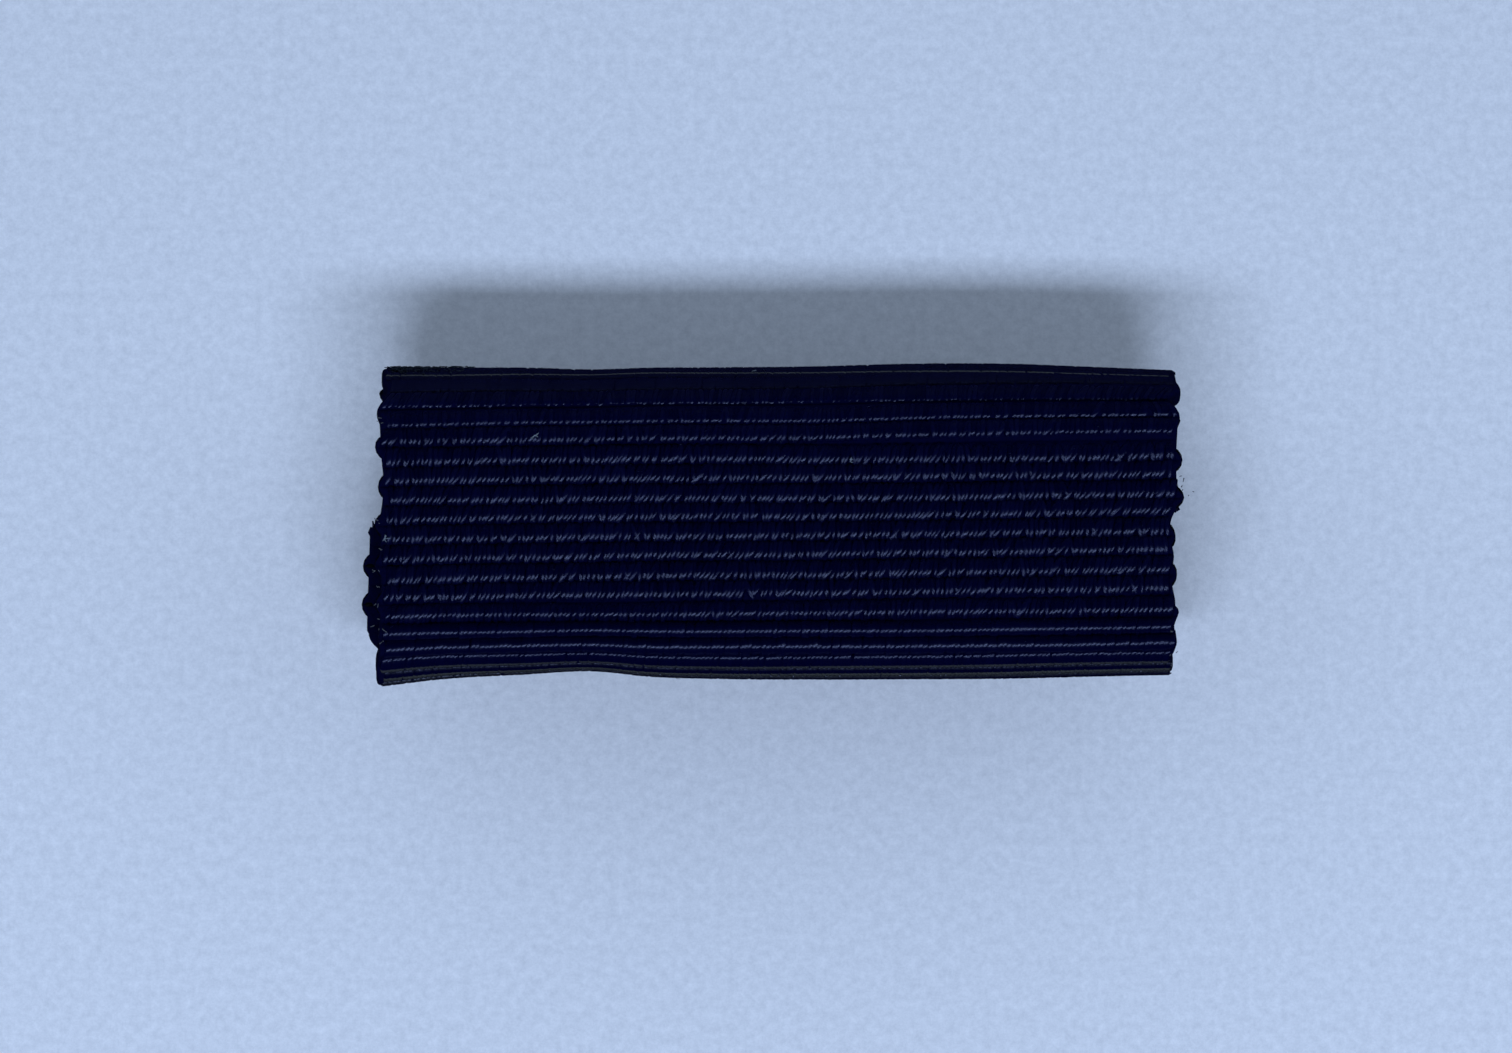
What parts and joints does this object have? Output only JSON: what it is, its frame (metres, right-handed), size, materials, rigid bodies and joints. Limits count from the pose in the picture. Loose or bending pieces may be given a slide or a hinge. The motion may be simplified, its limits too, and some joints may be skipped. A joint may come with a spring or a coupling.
{
  "type": "service medal ribbon bar",
  "caption": "Ribbon bar: a corded ribbon wrapped round a channel bar, with a flat ribbed face and a brooch pin behind that fastens it to cloth.",
  "frame": {"origin": "bottom centre of the bounding box, on the surface that the ribbon bar lies on, under the middle of its outline", "axes": "+X along the bar towards the right selvedge seen from the face, +Y across the ribs towards the top edge, +Z out of the ribbed face"},
  "size_m": [0.0328, 0.0128, 0.0062],
  "materials": {
    "corded_ribbon": "matte",
    "stamped_brass": "satin",
    "nickel_plate": "satin"
  },
  "bodies": {
    "root": {"ribbon": "corded_ribbon", "bar": "stamped_brass", "brooch_pin": "nickel_plate"}
  },
  "joints": []
}
